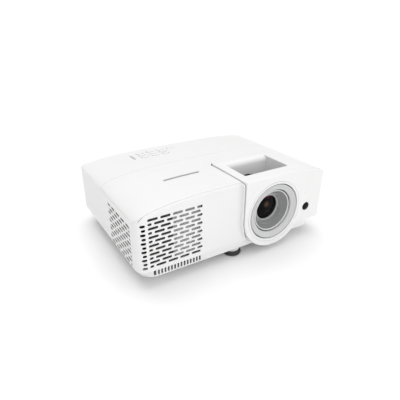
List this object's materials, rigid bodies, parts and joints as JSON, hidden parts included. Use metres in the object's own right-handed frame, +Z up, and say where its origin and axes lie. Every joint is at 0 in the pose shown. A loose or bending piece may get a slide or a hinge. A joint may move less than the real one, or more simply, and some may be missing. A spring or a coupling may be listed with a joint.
{
  "type": "home projector",
  "caption": "White box-shaped home projector with a recessed lens at one end of its front, grille vents, a keypad on top, rear sockets and screw feet.",
  "frame": {"origin": "on the surface that the feet stand on, under the middle of the object's box", "axes": "+Z up, the lens faces -Y, +X towards the end that the lens is on"},
  "size_m": [0.316, 0.239, 0.1196],
  "materials": {
    "white_shell": "satin white moulded plastic with a fine grain",
    "off_white": "satin off-white plastic",
    "grey_plastic": "satin light grey plastic",
    "black_plastic": "matt black plastic",
    "lens_glass": "coated dark lens glass",
    "foot_rubber": "dark grey rubber",
    "steel": "zinc-plated steel",
    "aluminium": "cast and sheet aluminium",
    "circuit_board": "green solder mask"
  },
  "bodies": {
    "casing": {"upper_case": "white_shell", "lower_case": "white_shell", "top_panel": "white_shell", "lens_hood": "white_shell", "front_vent": "white_shell", "left_vent": "white_shell", "right_vent": "white_shell", "lamp_door": "white_shell", "rear_panel": "off_white", "vent_baffle": "off_white", "name_bar": "grey_plastic", "lens_trim_ring": "grey_plastic", "status_lights": "grey_plastic", "lens_barrel": "black_plastic", "infrared_window": "black_plastic", "hdmi_port_1": "black_plastic", "hdmi_port_2": "black_plastic", "usb_port": "black_plastic", "audio_jack": "black_plastic", "trigger_jack": "black_plastic", "mains_inlet": "black_plastic", "intake_fan_frame": "black_plastic", "exhaust_fan_frame": "black_plastic", "speaker": "black_plastic", "dust_mesh": "black_plastic", "rear_lens": "lens_glass", "lamp_door_screw": "steel", "case_screw_left": "steel", "case_screw_right": "steel", "wheel_motor": "steel", "lamp_housing": "aluminium", "lamp_reflector": "aluminium", "optical_engine": "aluminium", "heat_sink": "aluminium", "keypad_board": "circuit_board", "connector_board": "circuit_board", "power_board": "circuit_board", "main_board": "circuit_board"},
    "key_menu": {"key_menu": "white_shell"},
    "key_down": {"key_down": "white_shell"},
    "key_info": {"key_info": "white_shell"},
    "key_left": {"key_left": "white_shell"},
    "key_enter": {"key_enter": "white_shell"},
    "key_right": {"key_right": "white_shell"},
    "key_source": {"key_source": "white_shell"},
    "key_up": {"key_up": "white_shell"},
    "key_resync": {"key_resync": "white_shell"},
    "key_power": {"key_power": "white_shell"},
    "focus": {"focus_ring": "grey_plastic", "front_lens": "lens_glass"},
    "zoom": {"zoom_ring": "black_plastic"},
    "front_foot_pad": {"front_foot_pad": "foot_rubber"},
    "front_foot_screw": {"front_foot_screw": "off_white"},
    "rear_left_foot_pad": {"rear_left_foot_pad": "foot_rubber"},
    "rear_left_foot_screw": {"rear_left_foot_screw": "off_white"},
    "rear_right_foot_pad": {"rear_right_foot_pad": "foot_rubber"},
    "rear_right_foot_screw": {"rear_right_foot_screw": "off_white"},
    "intake_rotor": {"intake_fan_rotor": "black_plastic"},
    "exhaust_rotor": {"exhaust_fan_rotor": "black_plastic"},
    "colour_wheel": {"colour_wheel": "lens_glass"}
  },
  "joints": [
    {"name": "key_menu_press", "type": "slide", "parent": "casing", "child": "key_menu", "axis": [0, 0, -1], "range_m": [0, 0.0007], "stiffness_N_per_m": 900},
    {"name": "key_down_press", "type": "slide", "parent": "casing", "child": "key_down", "axis": [0, 0, -1], "range_m": [0, 0.0007], "stiffness_N_per_m": 900},
    {"name": "key_info_press", "type": "slide", "parent": "casing", "child": "key_info", "axis": [0, 0, -1], "range_m": [0, 0.0007], "stiffness_N_per_m": 900},
    {"name": "key_left_press", "type": "slide", "parent": "casing", "child": "key_left", "axis": [0, 0, -1], "range_m": [0, 0.0007], "stiffness_N_per_m": 900},
    {"name": "key_enter_press", "type": "slide", "parent": "casing", "child": "key_enter", "axis": [0, 0, -1], "range_m": [0, 0.0007], "stiffness_N_per_m": 900},
    {"name": "key_right_press", "type": "slide", "parent": "casing", "child": "key_right", "axis": [0, 0, -1], "range_m": [0, 0.0007], "stiffness_N_per_m": 900},
    {"name": "key_source_press", "type": "slide", "parent": "casing", "child": "key_source", "axis": [0, 0, -1], "range_m": [0, 0.0007], "stiffness_N_per_m": 900},
    {"name": "key_up_press", "type": "slide", "parent": "casing", "child": "key_up", "axis": [0, 0, -1], "range_m": [0, 0.0007], "stiffness_N_per_m": 900},
    {"name": "key_resync_press", "type": "slide", "parent": "casing", "child": "key_resync", "axis": [0, 0, -1], "range_m": [0, 0.0007], "stiffness_N_per_m": 900},
    {"name": "key_power_press", "type": "slide", "parent": "casing", "child": "key_power", "axis": [0, 0, -1], "range_m": [0, 0.0007], "stiffness_N_per_m": 900},
    {"name": "focus_turn", "type": "hinge", "parent": "casing", "child": "focus", "pos_m": [0.0515, -0.108, 0.0631], "axis": [0, 1, 0], "range_deg": [-45, 45]},
    {"name": "zoom_turn", "type": "hinge", "parent": "casing", "child": "zoom", "pos_m": [0.0515, -0.074, 0.0631], "axis": [0, 1, 0], "range_deg": [-20, 20]},
    {"name": "front_foot_extend", "type": "slide", "parent": "casing", "child": "front_foot_pad", "axis": [0, 0, -1], "range_m": [0, 0.012]},
    {"name": "front_foot_turn", "type": "hinge", "parent": "front_foot_pad", "child": "front_foot_screw", "pos_m": [-0.0035, -0.094, 0.02], "axis": [0, 0, 1], "range_deg": [0, 1440]},
    {"name": "rear_left_foot_extend", "type": "slide", "parent": "casing", "child": "rear_left_foot_pad", "axis": [0, 0, -1], "range_m": [0, 0.006]},
    {"name": "rear_left_foot_turn", "type": "hinge", "parent": "rear_left_foot_pad", "child": "rear_left_foot_screw", "pos_m": [-0.124, 0.092, 0.02], "axis": [0, 0, 1], "range_deg": [0, 720]},
    {"name": "rear_right_foot_extend", "type": "slide", "parent": "casing", "child": "rear_right_foot_pad", "axis": [0, 0, -1], "range_m": [0, 0.006]},
    {"name": "rear_right_foot_turn", "type": "hinge", "parent": "rear_right_foot_pad", "child": "rear_right_foot_screw", "pos_m": [0.124, 0.092, 0.02], "axis": [0, 0, 1], "range_deg": [0, 720]},
    {"name": "intake_fan_spin", "type": "hinge", "parent": "casing", "child": "intake_rotor", "pos_m": [-0.143, -0.059, 0.0635], "axis": [1, 0, 0], "continuous": true},
    {"name": "exhaust_fan_spin", "type": "hinge", "parent": "casing", "child": "exhaust_rotor", "pos_m": [0.144, -0.059, 0.0635], "axis": [1, 0, 0], "continuous": true},
    {"name": "colour_wheel_spin", "type": "hinge", "parent": "casing", "child": "colour_wheel", "pos_m": [-0.0165, 0.032, 0.044], "axis": [1, 0, 0], "continuous": true}
  ],
  "couplings": [
    {"joint": "front_foot_turn", "follows": "front_foot_extend", "rad_per_m": 2094.4},
    {"joint": "rear_left_foot_turn", "follows": "rear_left_foot_extend", "rad_per_m": 2094.4},
    {"joint": "rear_right_foot_turn", "follows": "rear_right_foot_extend", "rad_per_m": 2094.4}
  ]
}
